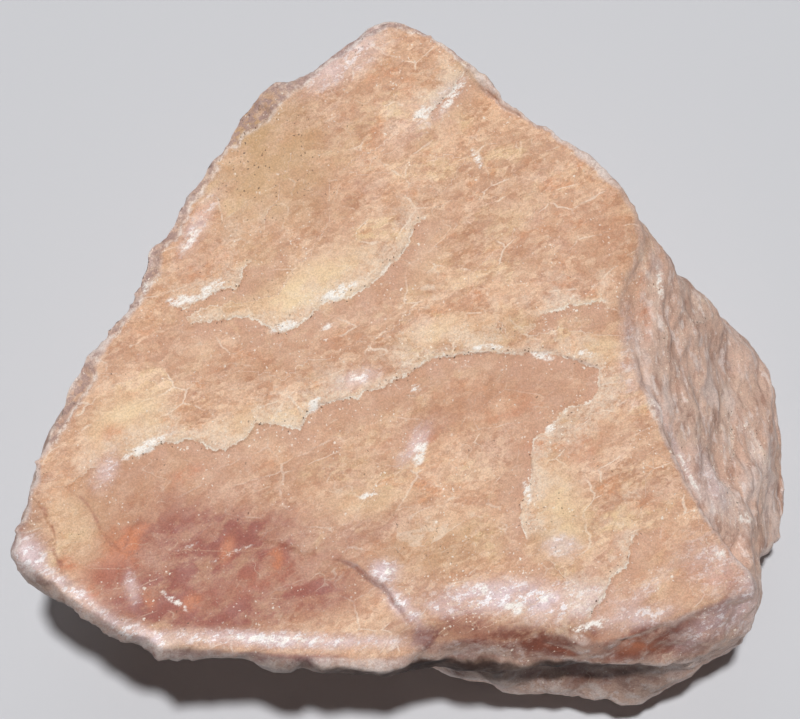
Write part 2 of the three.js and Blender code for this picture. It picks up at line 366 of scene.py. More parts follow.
# ---- the mesh ----

def smooth_step(low, high, value):
    """A smooth rise from 0 at the low value to 1 at the high one, or a fall if low is above high."""
    share = np.clip((value - low) / (high - low), 0, 1)
    return share * share * (3 - 2 * share)


def places_of(mesh):
    """The mesh's corners, in millimetres."""
    flat = np.empty(len(mesh.vertices) * 3)
    mesh.vertices.foreach_get("co", flat)
    return flat.reshape(-1, 3) / MM


def normals_of(mesh):
    """The outward direction at each of the mesh's corners."""
    flat = np.empty(len(mesh.vertices) * 3, np.float32)
    mesh.vertex_normals.foreach_get("vector", flat)
    return flat.reshape(-1, 3).astype(float)


def put_back(mesh, places):
    """Moves the mesh's corners to places in millimetres."""
    mesh.vertices.foreach_set("co", (places * MM).astype(np.float32).ravel())
    mesh.update()


def put_in_scene(name, data):
    """A new object: the stone, the floor, a lamp or the camera."""
    thing = bpy.data.objects.new(name, data)
    bpy.context.scene.collection.objects.link(thing)
    return thing


def apply_modifier(stone, kind, **settings):
    """Gives the stone the mesh that a modifier makes of it."""
    modifier = stone.modifiers.new(kind.title(), kind)
    for name, value in settings.items():
        setattr(modifier, name, value)
    depsgraph = bpy.context.evaluated_depsgraph_get()
    finished = bpy.data.meshes.new_from_object(stone.evaluated_get(depsgraph))
    stone.modifiers.clear()
    stone.data = finished


class MainFace:
    """The plane of the main cleavage face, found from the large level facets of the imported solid."""

    LEVEL = 0.97  # the least upward part of such a facet's normal

    def __init__(self, mesh):
        level = [polygon for polygon in mesh.polygons if polygon.normal.z > self.LEVEL]
        weight = np.array([polygon.area for polygon in level])
        normals = np.array([polygon.normal for polygon in level])
        self.normal = (normals * weight[:, None]).sum(0)
        self.normal /= np.linalg.norm(self.normal)
        middles = np.array([polygon.center for polygon in level]) / MM
        self.offset = (middles @ self.normal).max()

    def above(self, places):
        """How far places are above the plane, along its normal."""
        return places @ self.normal - self.offset


def refine(stone, wanted):
    """Halves the grid where wanted(places, normals) is true at all of a face's corners."""
    work = bmesh.new()
    work.from_mesh(stone.data)
    chosen = wanted(places_of(stone.data), normals_of(stone.data))
    faces = [face for face in work.faces if all(chosen[corner.index] for corner in face.verts)]
    edges = list({edge for face in faces for edge in face.edges})
    bmesh.ops.subdivide_edges(work, edges=edges, cuts=1, use_grid_fill=True)
    bmesh.ops.triangulate(work, faces=[face for face in work.faces if len(face.verts) > 4])
    work.to_mesh(stone.data)
    work.free()


class Neighbours:
    """Averages over the corners next to each corner of a mesh."""

    def __init__(self, mesh):
        pairs = np.empty(len(mesh.edges) * 2, np.int64)
        mesh.edges.foreach_get("vertices", pairs)
        pairs = pairs.reshape(-1, 2)
        self.here = np.concatenate((pairs[:, 0], pairs[:, 1]))
        self.there = np.concatenate((pairs[:, 1], pairs[:, 0]))
        self.count = np.bincount(self.here, minlength=len(mesh.vertices))

    def average(self, values):
        """Each corner's mean over its neighbours, for numbers or for rows of numbers."""
        columns = values.reshape(len(values), -1).T
        sums = [np.bincount(self.here, column[self.there], len(values)) for column in columns]
        return (np.array(sums) / self.count).T.reshape(values.shape)

    def bridged(self, values, rounds):
        """Fills gaps of low values that are narrower than twice the rounds, and changes nothing else."""
        for sign in (1, -1):
            for _ in range(rounds):
                grown = sign * values
                np.maximum.at(grown, self.here, sign * values[self.there])
                values = sign * grown
        return values

    def smoothed(self, values, rounds):
        """Values with each corner moved half way to its neighbours' mean, as many times as the rounds."""
        for _ in range(rounds):
            values = 0.5 * values + 0.5 * self.average(values)
        return values


def wandering(plan):
    """Plan places pushed about, so that lines drawn through them turn ragged."""
    flat = np.column_stack((plan, np.zeros(len(plan))))
    pushed = plan.copy()
    seed = 10
    for far, length in (EDGE_WANDER, EDGE_FRAY):
        for axis in range(2):
            pushed[:, axis] += far * Noise(seed)(flat / length)
            seed += 1
    return pushed


def beside_line(plan, line):
    """Distance from a line, positive on its left."""
    nearest = np.full(len(plan), np.inf)
    offset = np.zeros(len(plan))
    same = 1e-6
    for start, end in zip(line, line[1:]):
        length = np.linalg.norm(end - start)
        way = (end - start) / length
        run = np.clip((plan - start) @ way, 0, length)
        away = plan - start - run[:, None] * way
        distance = np.hypot(away[:, 0], away[:, 1])
        sideways = way[0] * away[:, 1] - way[1] * away[:, 0]
        tied = np.abs(distance - nearest) < same
        better = (distance < nearest - same) | (tied & (np.abs(sideways) > np.abs(offset)))
        nearest = np.where(better, distance, nearest)
        offset = np.where(better, sideways, offset)
    return np.copysign(nearest, offset)


def step_parts(plan, steps):
    """For each step: the distance from its edge, and its height after it has tapered at its ends."""
    ragged = wandering(plan)
    for step in steps:
        height = np.full(len(plan), step.height)
        for end in (step.line[0], step.line[-1]):
            height *= smooth_step(0, STEP_TAPER, np.linalg.norm(ragged - end, axis=1))
        yield step, beside_line(ragged, step.line), height


def stepped(plan, steps):
    """How far steps raise or lower the surface."""
    total = np.zeros(len(plan))
    for step, distance, height in step_parts(plan, steps):
        total += 0.5 * height * np.tanh(distance / STEP_RUN) * np.exp(-np.abs(distance) / step.reach)
    return total


def near_steps(plan, within):
    """True close to a step or crease of the main face."""
    near = np.zeros(len(plan), bool)
    for _, distance, height in step_parts(plan, FACE_STEPS + CREASES):
        near |= (np.abs(distance) < within) & (height > 0.05)
    return near


def rim_depth(places, level):
    """How far under the main face each place has to be, because the face's rim is crushed."""
    outside = np.flatnonzero(level < 0.5)
    tree = KDTree(len(outside))
    for index in outside:
        tree.insert(places[index], index)
    tree.balance()
    inside = np.flatnonzero(level >= 0.5)
    away = np.zeros(len(places))
    away[inside] = [tree.find(places[index])[2] for index in inside]
    least, most = RIM_WIDTH
    width = least + (most - least) * smooth_step(-0.25, 0.45, Noise(30).rough(places / RIM_WANDER, 3))
    width *= smooth_step(RIM_END, RIM_END - RIM_FADE, places[:, 0])
    width *= smooth_step(FRONT_RIM_START, FRONT_RIM_START + RIM_FADE, places[:, 1])
    return RIM_SLOPE * (width - away)


def turned(plan, turn):
    """How far plan places lie along a direction, given in degrees from the X axis, and across it."""
    angle = math.radians(turn)
    cos, sin = math.cos(angle), math.sin(angle)
    return plan @ (cos, sin), plan @ (-sin, cos)


def along_grain(places, turn, stretch):
    """Places squeezed along the stone's grain, so that noise drawn through them comes out in streaks."""
    length, width = turned(places[:, :2], turn)
    return np.column_stack((length / stretch, width, places[:, 2]))


def patch(plan, x, y, half_length, half_width, turn, strength):
    """How strong a soft round patch is at places in plan."""
    from_middle = np.column_stack(turned(plan - (x, y), turn)) / (half_length, half_width)
    return strength * np.exp(-(from_middle ** 2).sum(1) ** 1.5)


def main():
    """Makes the stone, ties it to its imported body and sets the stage."""
    stone = make_stone()
    stone.data.materials.clear()
    stone.data.materials.append(feldspar_material())
    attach(stone, BODY)
    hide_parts(NODE)
    stage_floor()
    lights()
    camera()


def make_stone():
    """The whole lump as one mesh, with marks that say where its colours go."""
    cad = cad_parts[NODE]
    face = MainFace(cad.data)
    stone = put_in_scene("feldspar_lump", cad.data.copy())
    apply_modifier(stone, "REMESH", mode="VOXEL", voxel_size=COARSE_GRID * MM, adaptivity=0)

    def seen_from_above(places, normals):
        return (normals[:, 2] > FINE_SLOPE) & (places[:, 2] > FINE_ABOVE)

    def beside_steps(places, normals):
        return seen_from_above(places, normals) & near_steps(places[:, :2], FINEST_BESIDE)

    refine(stone, seen_from_above)
    refine(stone, beside_steps)
    carve(stone, face)
    count = sum(len(polygon.vertices) - 2 for polygon in stone.data.polygons)
    apply_modifier(stone, "DECIMATE", decimate_type="COLLAPSE", ratio=min(1.0, TRIANGLE_LIMIT / count))
    write_marks(stone.data, face)
    stone.data.polygons.foreach_set("use_smooth", [True] * len(stone.data.polygons))
    return stone


def ball(places, middle, half_sizes, strength):
    """How strong a soft ball or egg is at places."""
    return strength * np.exp(-(((places - middle) / half_sizes) ** 2).sum(1))


def wear(places):
    """How worn the crest at the right is, from 0 to 1."""
    return np.clip(sum(ball(places, *row) for row in WORN_CREST), 0, 1)


def carve(stone, face):
    """Moves the grid's corners to make the real surface."""
    mesh = stone.data
    around = Neighbours(mesh)
    places = around.smoothed(places_of(mesh), GRID_ROUNDS)
    worn = wear(places)
    places += worn[:, None] * (around.smoothed(places, WEAR_ROUNDS) - places)
    put_back(mesh, places)
    normals = around.smoothed(normals_of(mesh), NORMAL_ROUNDS)
    normals /= np.linalg.norm(normals, axis=1)[:, None]

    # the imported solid's small steps are bridged, so that the main face counts as one level area
    level = smooth_step(0.75, 0.9, normals @ face.normal)
    level *= smooth_step(*FACE_BAND, face.above(places))
    level = around.smoothed(around.bridged(level, 5), 3)
    upper = smooth_step(0.2, 0.5, normals[:, 2])
    foot = smooth_step(*FOOT, places[:, 2])

    # the main face is brought to one plane, and its steps are put in
    sink = FACE_SINK - face.above(places)
    places = places + (level * (1 - worn) * sink)[:, None] * face.normal
    plan = places[:, :2]
    swell = relief(FACE_SWELL, Noise(1), places)
    far, length = BEND
    bent = places + far * np.column_stack([Noise(20 + axis)(places / length) for axis in range(3)])
    chips = facets(along_grain(bent, FACE_GRAIN, 1.8), *FACE_CHIPS, 7) + facets(bent, *FACE_PLATES, 8)
    fine = relief(FACE_GRAIN_RELIEF, Noise(3), along_grain(places, FACE_GRAIN, 2.2))
    face_lift = stepped(plan, FACE_STEPS + CREASES) + swell + chips + fine

    # the walls are broken into bigger, more tilted pieces
    lumps = relief(WALL_LUMPS, Noise(4), places, 2)
    blocks = facets(places, *WALL_MASSES, 9)
    blocks += facets(along_grain(bent, BLOCK_GRAIN, 1.8), *WALL_BLOCKS, 11)
    blocks += facets(along_grain(bent, SPLINTER_GRAIN, 1.9), *WALL_SPLINTERS, 12)
    rough = relief(WALL_GRAIN_RELIEF, Noise(6), places)
    wall_lift = lumps + blocks + rough + upper * stepped(plan, LOBE_STEPS)

    depth_at_rim = rim_depth(places, level)
    lift = level * face_lift + (1 - level) * wall_lift
    lift += sum(ball(places, *row) for row in SWELLINGS)
    places = places + (lift * foot)[:, None] * normals

    # the rim is cut away last, so that the top of the wall goes with it
    depth = FACE_SINK - face.above(places)
    cut = np.maximum(depth_at_rim - depth, 0)
    places = places - cut[:, None] * face.normal
    places[:, 2] = np.maximum(places[:, 2], 0)
    put_back(mesh, places)
    store(mesh, "rim", around.smoothed(smooth_step(0.02, 0.2, cut), 1))


def store(mesh, name, values):
    """Keeps a number for each corner of the mesh under a name that the material reads."""
    attribute = mesh.attributes.new(name, "FLOAT", "POINT")
    attribute.data.foreach_set("value", values.astype(np.float32))


def nearest_edge(plan):
    """The distance from the nearest broken sheet edge, positive on the sheet, and that edge's height."""
    edge = np.full(len(plan), NO_EDGE)
    edge_height = np.zeros(len(plan))
    for _, distance, height in step_parts(plan, FACE_STEPS + LOBE_STEPS):
        tapered_off = 2.0 * (height < 0.1)
        nearer = np.abs(distance) + tapered_off < np.abs(edge)
        edge = np.where(nearer, distance, edge)
        edge_height = np.where(nearer, height, edge_height)
    return np.clip(edge, -SHEET_EDGE, SHEET_EDGE), edge_height


def crease_stain(plan):
    """How rusty the creases are."""
    crease = np.zeros(len(plan))
    for _, distance, height in step_parts(plan, CREASES):
        coverage = smooth_step(0, 0.15, height) * np.exp(-(distance / CREASE_STAIN) ** 2)
        crease = np.maximum(crease, coverage)
    return crease


def painted_lip_shade(places, normals):
    """How much painted shade darkens the front wall: most just under its lip, and more at the middle than at
    the left.
    """
    right = places[:, 0]
    under_lip = np.interp(right, *zip(*FRONT_LIP)) - places[:, 2]
    coverage = smooth_step(-0.2, 0.4, under_lip) * (1 - smooth_step(*LIP_SHADE_DEPTH, under_lip))
    coverage *= smooth_step(-0.15, -0.5, normals[:, 1])
    coverage *= 0.55 * smooth_step(-37.0, -33.0, right) + 0.45 * smooth_step(-14.0, -6.0, right)
    return coverage * smooth_step(*LIP_SHADE_END, right)


def write_marks(mesh, face):
    """Stores where the colours go, as numbers on the mesh's corners."""
    places = places_of(mesh)
    normals = normals_of(mesh)
    around = Neighbours(mesh)
    plan = places[:, :2]
    upper = smooth_step(0.1, 0.5, normals[:, 2])
    smooth_normals = around.smoothed(normals, NORMAL_ROUNDS)

    edge, edge_height = nearest_edge(plan)
    curve = ((around.average(places) - places) * normals).sum(1)
    broken = 1 - smooth_step(0.80, 0.95, smooth_normals @ face.normal)
    worn = wear(places)
    beyond_crest = smooth_step(-0.2 - worn, 0.6 + 2.5 * worn, beside_line(plan, np.array(CREST_LINE)))
    beyond_crest *= plan[:, 0] > LOBE_START
    marks = {
        "edge_distance": edge,
        "edge_height": edge_height * upper,
        "crease": crease_stain(plan) * upper,
        "ridge": around.smoothed(-curve, 2) * (1 - worn),
        "flank": np.maximum(broken * (1 - 0.6 * worn), beyond_crest),
        # painted shade under the front lip
        "dark": painted_lip_shade(places, smooth_normals),
    }
    for name, spots in PATCHES.items():
        marks[name] = upper * np.clip(sum(patch(plan, *spot) for spot in spots), 0, 1)
    for name, values in marks.items():
        store(mesh, name, values)


# ---- material ----

CRYSTAL_SIZES = (3.4, 1.2, 0.4)  # millimetres
CRYSTAL_TILTS = (0.035, 0.11)  # of the faces of the smaller two, as a slope
SPOT_CORE = 0.6  # the fully coloured share of a spot's radius
SPECKS = (0.32, 0.3, 0.22)  # cell size in millimetres, radius and chance
GLINTS = (  # the same, with the least and the most share of white
    ((0.75, 0.2, 0.12), 0.05, 0.9),
    ((0.28, 0.34, 0.18), 0.2, 0.75),
)
GRAIN_BUMP = (0.3, 0.06)  # length and height of the finest grain, in millimetres
DULLNESS = (0.57, 0.69)  # least and most roughness of the stone's gloss
PEARL_GLOSS = 0.16  # how much less rough the pearly patches are
LIP_SHADE_DULLNESS = 0.9  # roughness of the painted shade under the lip
FELDSPAR_IOR = 1.53
SCREEN_GAMMA = 2.2


def in_linear_light(screen_colour):
    """A screen colour, from 0 to 255, in the linear light that shaders use."""
    return tuple((value / 255) ** SCREEN_GAMMA for value in screen_colour)


class Shader:
    """A short way to write a node tree: most calls add nodes and give back the last one's output."""

    MIX_SOCKETS = (0, 6, 7)  # a mix node's inputs for the share and for the two colours

    def __init__(self, name):
        self.material = bpy.data.materials.new(name)
        self.material.use_nodes = True
        self.tree = self.material.node_tree
        self.principled = self.tree.nodes["Principled BSDF"]
        self.place = self.node("TexCoord").outputs["Object"]

    def node(self, kind, settings=None, *values, **inputs):
        """Any shader node, with its settings, and with its inputs in order or by name."""
        made = self.tree.nodes.new("ShaderNode" + kind)
        for name, value in (settings or {}).items():
            setattr(made, name, value)
        for socket, value in zip(made.inputs, values):
            self.connect(value, socket)
        for name, value in inputs.items():
            self.connect(value, made.inputs[name])
        return made

    def connect(self, value, socket):
        """Links another node's output to a socket, or sets it to a number, screen colour or vector."""
        if isinstance(value, bpy.types.NodeSocket):
            self.tree.links.new(value, socket)
        elif socket.type == "RGBA":
            socket.default_value = (*in_linear_light(value), 1)
        else:
            socket.default_value = value

    def mark(self, name):
        """A number stored on the mesh."""
        return self.node("Attribute", {"attribute_name": name}).outputs["Fac"]

    def math(self, operation, *values):
        """Arithmetic on numbers."""
        return self.node("Math", {"operation": operation}, *values).outputs[0]

    def most_of(self, *values):
        """The greatest of several numbers."""
        return reduce(partial(self.math, "MAXIMUM"), values)

    def times(self, *values):
        """The product of several numbers."""
        return reduce(partial(self.math, "MULTIPLY"), values)

    def vector(self, operation, *values):
        """Arithmetic on places and directions."""
        return self.node("VectorMath", {"operation": operation}, *values).outputs[0]

    def scaled(self, vector, factor):
        """A vector or colour made longer or stronger by a factor."""
        return self.node("VectorMath", {"operation": "SCALE"}, vector, Scale=factor).outputs[0]

    def spread(self, value, low, high, to_low=0, to_high=1):
        """A value's rise from low to high, made into a smooth rise between two other values."""
        rise = {"interpolation_type": "SMOOTHSTEP"}
        return self.node("MapRange", rise, value, low, high, to_low, to_high).outputs[0]

    def grain(self, turn, stretch):
        """Places squeezed along a direction in plan, for drawing streaks."""
        turned = self.node("VectorRotate", {"rotation_type": "Z_AXIS"},
                           Vector=self.place, Angle=-math.radians(turn))
        return self.vector("MULTIPLY", turned.outputs[0], (1 / stretch, 1, 1))

    def noise(self, size_mm, seed, detail=6, roughness=0.62, place=None):
        """Cloudy noise from 0 to 1: the seed shifts it, so that no two layers are alike."""
        shifted = self.vector("ADD", place or self.place, (0.11 * seed, 0.07 * seed, 0.05 * seed))
        made = self.node("TexNoise", Vector=shifted, Scale=1 / (size_mm * MM), Detail=detail,
                         Roughness=roughness)
        return made.outputs["Fac"]

    def line(self, size_mm, seed, width, place=None):
        """Thin wandering lines: where a noise passes through its middle value."""
        away = self.math("ABSOLUTE", self.math("SUBTRACT", self.noise(size_mm, seed, 3, 0.5, place), 0.5))
        return self.spread(away, width, 0)

    def cells(self, size_mm, output, place, feature="F1"):
        """Space cut into angular cells of about a size."""
        made = self.node("TexVoronoi", {"feature": feature}, Vector=place, Scale=1 / (size_mm * MM))
        return made.outputs[output]

    def bent(self, size_mm, far_mm, place):
        """Places pushed about by a noise."""
        push = self.node("TexNoise", Scale=1 / (size_mm * MM), Vector=place).outputs["Color"]
        return self.vector("ADD", place, self.scaled(push, far_mm * MM))

    def scatter(self, size_mm, radius, chance, place):
        """Small spots: one in each cell of a size, in as many of the cells as the chance says.

        A spot's radius is a share of the cell's size.
        """
        made = self.node("TexVoronoi", Vector=place, Scale=1 / (size_mm * MM))
        lot = self.node("SeparateColor", Color=made.outputs["Color"]).outputs[0]
        spot = self.spread(made.outputs["Distance"], radius, radius * SPOT_CORE)
        return self.times(spot, self.math("LESS_THAN", lot, chance))

    def lay(self, below, above, *shares):
        """One colour laid over another, as thickly as the product of the shares says."""
        made = self.node("Mix", {"data_type": "RGBA"})
        for index, value in zip(self.MIX_SOCKETS, (self.times(*shares), below, above)):
            self.connect(value, made.inputs[index])
        return made.outputs[2]


# ---- colours, as red, green and blue from 0 to 255 on a screen ----

# The stone's body.
SALMON = (219, 169, 131)
ROSY_SALMON = (224, 173, 138)
WARM_TAN = (194, 144, 110)
PALE_ROSE = (229, 189, 165)
CREAM = (236, 202, 156)
WARM_ORANGE = (217, 150, 108)
LIGHT_SALMON = (246, 208, 178)
BROWN = (181, 126, 94)
LIGHT_GRAIN = (254, 216, 182)
DARK_GRAIN = (162, 107, 82)
LIGHT_CRYSTAL = (246, 208, 174)
DARK_CRYSTAL = (190, 138, 108)
SEAM = (250, 228, 206)

# Its broken sides.
GREY_PINK = (208, 177, 162)
GREY_BROWN = (156, 116, 100)
PALE_GREY_PINK = (222, 200, 190)
PALE_CHIP = (240, 226, 220)
DARK_CHIP = (158, 118, 104)

# Its stains, painted shade and painted sheen, under the names of their patches, with the share of each that
# shows at its thinnest.
PATCH_COLOURS = {
    "tan": (0.5, (190, 135, 103)),
    "ochre": (0.5, (205, 164, 122)),
    "straw": (0.5, (242, 210, 168)),
    # real rust, with painted shade at the lower left
    "rust_and_shade": (0.62, (160, 94, 81)),
    "umber": (0.5, (126, 72, 56)),
    # painted shade along the front-left edge
    "plum_shade": (0.5, (142, 92, 94)),
    "orange": (0.2, (206, 130, 94)),
    # pale lilac tone with painted sheen
    "lilac_and_sheen": (0.5, (216, 188, 188)),
}
PEARL_GLINT = (250, 242, 242)
CREASE_RUST = (176, 118, 98)
# Painted shade: the dark colour laid on the wall under the front lip.
LIP_PAINTED_SHADE = (54, 37, 31)

# The sheets' edges, the crushed rim and the small marks.
UNDER_SHEET = (205, 157, 130)
THIN_SHEET = (240, 220, 198)
SHEET_HAIRLINE = (250, 238, 222)
RIM_CRUMBS = (172, 142, 134)
RIM_BORDER = (240, 226, 216)
RIDGE = (232, 216, 208)
FROST = (254, 247, 238)
VEIN = (236, 214, 190)
HAIR_CRACK = (236, 208, 182)
GLINT = (250, 236, 220)
SPECK = (88, 62, 44)


def clouded(shader, tone, place, roughness, layers, reach=1):
    """Layers of cloudy colour, from the largest clouds to grains.

    Each layer has a size in millimetres, a seed, an amount of detail, the two noise values between which
    it comes in, the share of it that shows at most, and its colour. They lie only as far as the reach says.
    """
    for size, seed, detail, low, high, most, shade in layers:
        share = shader.spread(shader.noise(size, seed, detail, roughness, place), low, high, 0, most)
        tone = shader.lay(tone, shade, reach, share)
    return tone


def mottled(shader, streaks):
    """The stone's body: salmon pink clouded with tan, orange, lilac and cream."""
    share = shader.spread(shader.noise(9, 1, 4), 0.4, 0.6)
    tone = shader.lay(SALMON, ROSY_SALMON, share)
    return clouded(shader, tone, streaks, 0.6, (
        (6, 2, 4, 0.47, 0.58, 0.85, WARM_TAN),
        (5, 3, 4, 0.51, 0.62, 0.75, PALE_ROSE),
        (4, 4, 4, 0.52, 0.62, 0.75, CREAM),
        (2.6, 5, 4, 0.54, 0.64, 0.7, WARM_ORANGE),
        (1.5, 6, 4, 0.54, 0.6, 0.5, LIGHT_SALMON),
        (0.9, 7, 3, 0.55, 0.61, 0.5, BROWN),
        (0.45, 10, 2, 0.54, 0.6, 0.4, LIGHT_GRAIN),
        (0.3, 15, 1, 0.55, 0.62, 0.35, DARK_GRAIN),
    ))


def crystal_pieces(shader, streaks):
    """The angular pieces that the stone is grown from, and the seams of the largest of them.

    The pieces of each size come as a colour that is random from piece to piece.
    """
    place = shader.bent(0.9, 0.5, streaks)
    pieces = [shader.cells(size, "Color", place) for size in CRYSTAL_SIZES]
    return pieces, shader.cells(CRYSTAL_SIZES[0], "Distance", place, "DISTANCE_TO_EDGE")


def crystals(shader, tone, pieces, seams):
    """Angular pieces, each a little lighter or darker than the next, with pale seams here and there."""
    for lots in pieces:
        lighter, darker, _ = shader.node("SeparateColor", Color=lots).outputs
        tone = shader.lay(tone, LIGHT_CRYSTAL, shader.spread(lighter, 0.5, 1, 0, 0.38))
        tone = shader.lay(tone, DARK_CRYSTAL, shader.spread(darker, 0.5, 1, 0, 0.42))
    here_and_there = shader.spread(shader.noise(2.6, 38, 3), 0.48, 0.6)
    return shader.lay(tone, SEAM, shader.spread(seams, 0.022, 0.006), here_and_there, 0.6)


def broken_sides(shader, tone):
    """The sides are a greyer pink, in streaks that run down them."""
    flank = shader.mark("flank")
    ribs = shader.grain(RIB_GRAIN, 2.4)
    tone = shader.lay(tone, GREY_PINK, flank, 0.78)
    return clouded(shader, tone, ribs, 0.65, (
        (2.6, 8, 4, 0.5, 0.6, 0.65, GREY_BROWN),
        (3.4, 9, 4, 0.5, 0.6, 0.65, PALE_GREY_PINK),
        (0.9, 16, 4, 0.54, 0.63, 0.5, PALE_CHIP),
        (0.6, 17, 3, 0.54, 0.63, 0.4, DARK_CHIP),
    ), flank)


def coloured_patches(shader, tone, streaks):
    """Patches of other colours: stains, with painted shade on the plum and rust patches and painted sheen and
    glints on the pearly ones.
    """
    broken = shader.noise(2, 11, 6, 0.65, streaks)
    for name, (least, shade) in PATCH_COLOURS.items():
        tone = shader.lay(tone, shade, shader.mark(name), shader.spread(broken, 0.42, 0.58, least, 1))
    # painted glints on the pearly patches
    glints = shader.spread(shader.noise(0.55, 12, 5, 0.72, streaks), 0.52, 0.6)
    tone = shader.lay(tone, PEARL_GLINT, shader.mark("lilac_and_sheen"), glints)
    rusty = shader.spread(shader.noise(1.2, 13), 0.4, 0.6, 0.1, 0.8)
    return shader.lay(tone, CREASE_RUST, shader.mark("crease"), rusty)


def step_edged(shader, tone):
    """Sheets are paler towards their broken edges, and the ground just under them is browner."""
    cloud = shader.noise(2.4, 22, 5)
    sugar = shader.noise(0.3, 21, 4, 0.65)
    edge = shader.math("ADD", shader.mark("edge_distance"), shader.spread(sugar, 0.3, 0.7, -0.1, 0.1))
    height = shader.times(shader.spread(shader.mark("edge_height"), 0.05, 0.2),
                          shader.spread(shader.mark("flank"), 0, 1, 1, 0.3))
    tone = shader.lay(tone, UNDER_SHEET, shader.spread(edge, -UNDER_SHEET_REACH, -0.1),
                      shader.spread(edge, 0, -0.15), height, shader.spread(cloud, 0.36, 0.54, 0.45, 0.9))
    inwards = shader.math("DIVIDE", edge, shader.spread(cloud, 0.36, 0.66, *THIN_SHEET_REACH))
    tone = shader.lay(tone, THIN_SHEET, shader.spread(inwards, 1, 0), shader.spread(edge, -0.12, 0),
                      height, shader.spread(sugar, 0.36, 0.58, 0.15, 0.6))
    return shader.lay(tone, SHEET_HAIRLINE, shader.spread(shader.math("ABSOLUTE", edge), *HAIRLINE), height,
                      shader.spread(shader.noise(1.1, 23, 4), 0.42, 0.56, 0.05, 0.8))


def frosted(shader, tone, streaks):
    """Spots where the stone is crushed to white grains, the paler crushed rim, and paler convex ridges."""
    rim = shader.mark("rim")
    crumbs = shader.noise(0.7, 25, 5, 0.75)
    tone = shader.lay(tone, RIM_CRUMBS, rim, shader.spread(crumbs, 0.42, 0.56, 0.1, 0.9))
    half_way_in = shader.times(rim, shader.math("SUBTRACT", 1, rim), 4)
    tone = shader.lay(tone, RIM_BORDER, half_way_in, shader.spread(crumbs, 0.58, 0.4, 0, 0.8))
    ridge = shader.spread(shader.mark("ridge"), 0.012, 0.05)
    tone = shader.lay(tone, RIDGE, ridge, shader.spread(crumbs, 0.35, 0.6, 0.1, 0.7))
    grains = shader.noise(0.5, 27, 5, 0.75, streaks)
    density = shader.times(shader.mark("frost"), shader.spread(grains, 0.36, 0.64, 0.3, 1.7))
    return shader.lay(tone, FROST, shader.spread(density, 0.25, 1.15, 0, 0.95))


def cracked(shader, tone, streaks, cloud):
    """A few wandering veins, and straight hair cracks along the grain."""
    veins = shader.line(6, 31, 0.005, streaks)
    tone = shader.lay(tone, VEIN, veins, shader.spread(cloud, 0.48, 0.4), 0.35)
    hairs = shader.line(1.6, 33, 0.012, shader.grain(HAIR_GRAIN, 5))
    return shader.lay(tone, HAIR_CRACK, hairs, shader.spread(cloud, 0.54, 0.64), 0.4)


def speckled(shader, tone, cloud):
    """White glints and dark specks, most of them along the sheets' edges."""
    beside_edge = shader.math("ABSOLUTE", shader.mark("edge_distance"))
    has_edge = shader.spread(shader.mark("edge_height"), 0, 0.2)
    shape = shader.bent(0.25, 0.35, shader.place)

    near_lip = shader.times(shader.spread(beside_edge, 2.5, 0.5), has_edge)
    where = shader.most_of(near_lip, shader.spread(cloud, 0.46, 0.62), shader.mark("lilac_and_sheen"))
    for spots, least, most in GLINTS:
        tone = shader.lay(tone, GLINT, shader.scatter(*spots, shape), shader.most_of(where, least), most)

    at_edge = shader.times(shader.spread(beside_edge, 0.8, 0.2), has_edge)
    where = shader.most_of(at_edge, shader.mark("ochre"), shader.spread(cloud, 0.42, 0.34, 0, 0.7))
    return shader.lay(tone, SPECK, shader.scatter(*SPECKS, shape), where, 0.9)


def crystal_normal(shader, pieces):
    """Small crystal faces, each tilted its own way, under a fine grain."""
    normal = shader.node("NewGeometry").outputs["Normal"]
    for lots, tilt in zip(pieces[1:], CRYSTAL_TILTS):
        lean = shader.vector("SUBTRACT", lots, (0.5, 0.5, 0.5))
        normal = shader.vector("ADD", normal, shader.scaled(lean, tilt))
    length, height = GRAIN_BUMP
    grain = shader.noise(length, 41, 2, 0.7)
    return shader.node("Bump", Strength=0.5, Distance=height * MM, Height=grain,
                       Normal=shader.vector("NORMALIZE", normal)).outputs[0]


def feldspar_material():
    """The stone's looks, from its body colour out to the finest grain."""
    shader = Shader("feldspar")
    streaks = shader.grain(FACE_GRAIN, 1.7)
    cloud = shader.noise(3.6, 34, 4)
    pieces, seams = crystal_pieces(shader, streaks)
    tone = mottled(shader, streaks)
    tone = crystals(shader, tone, pieces, seams)
    tone = broken_sides(shader, tone)
    tone = coloured_patches(shader, tone, streaks)
    tone = step_edged(shader, tone)
    tone = frosted(shader, tone, streaks)
    tone = cracked(shader, tone, streaks, cloud)
    tone = speckled(shader, tone, cloud)
    # painted shade on the wall under the front lip
    tone = shader.lay(tone, LIP_PAINTED_SHADE, shader.mark("dark"), shader.spread(cloud, 0.35, 0.65, 1, 0.75))
    fine_grain = shader.spread(shader.noise(0.16, 37, 1, 0.7), 0.3, 0.7, 0.88, 1.11)
    dull = shader.spread(shader.noise(1.5, 51, 2), 0.35, 0.65, *DULLNESS)
    dull = shader.math("SUBTRACT", dull, shader.times(shader.mark("lilac_and_sheen"), PEARL_GLOSS))
    dull = shader.most_of(dull, shader.times(shader.mark("dark"), LIP_SHADE_DULLNESS))

    surface = shader.principled.inputs
    shader.connect(shader.scaled(tone, fine_grain), surface["Base Color"])
    shader.connect(dull, surface["Roughness"])
    shader.connect(crystal_normal(shader, pieces), surface["Normal"])
    shader.connect(FELDSPAR_IOR, surface["IOR"])
    return shader.material


# ---- stage, lights and camera ----

